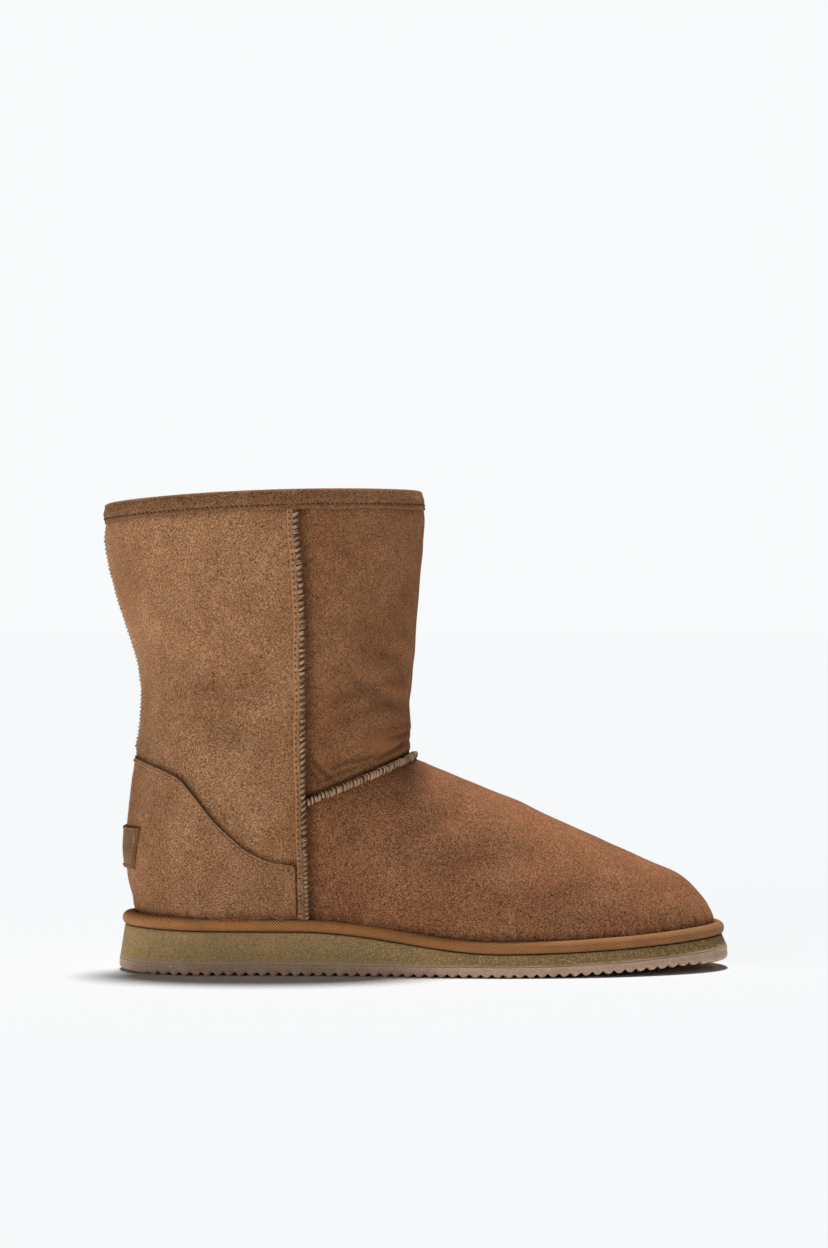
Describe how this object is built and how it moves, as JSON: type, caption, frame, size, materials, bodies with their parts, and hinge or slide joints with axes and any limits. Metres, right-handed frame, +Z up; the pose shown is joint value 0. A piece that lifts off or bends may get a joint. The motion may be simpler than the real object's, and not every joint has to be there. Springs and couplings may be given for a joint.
{
  "type": "sheepskin boot",
  "caption": "Short pull-on sheepskin boot with raised seams, bound collar, heel overlay, taped welt, foam wedge midsole and ribbed rubber tread.",
  "frame": {"origin": "on the floor, under the middle of the boot's box", "axes": "+X towards the toe, +Y towards the inner (medial) side, +Z up"},
  "size_m": [0.298, 0.1048, 0.2275],
  "materials": {
    "outsole": "translucent brown rubber, satin",
    "midsole": "olive foam rubber, matt and speckled",
    "welt": "woven twill tape",
    "insole": "fleece",
    "upper": "chestnut suede, napped",
    "heel_counter": "chestnut suede, napped",
    "collar_binding": "dark chestnut suede",
    "side_seam_lateral": "raw leather edge and thread",
    "side_seam_medial": "raw leather edge and thread",
    "instep_seam": "raw leather edge and thread",
    "back_seam": "raw leather edge and thread",
    "heel_label": "smooth olive leather, bare"
  },
  "bodies": {
    "root": {"outsole": "outsole", "midsole": "midsole", "welt": "welt", "insole": "insole", "upper": "upper", "heel_counter": "heel_counter", "collar_binding": "collar_binding", "side_seam_lateral": "side_seam_lateral", "side_seam_medial": "side_seam_medial", "instep_seam": "instep_seam", "back_seam": "back_seam", "heel_label": "heel_label"}
  },
  "joints": []
}
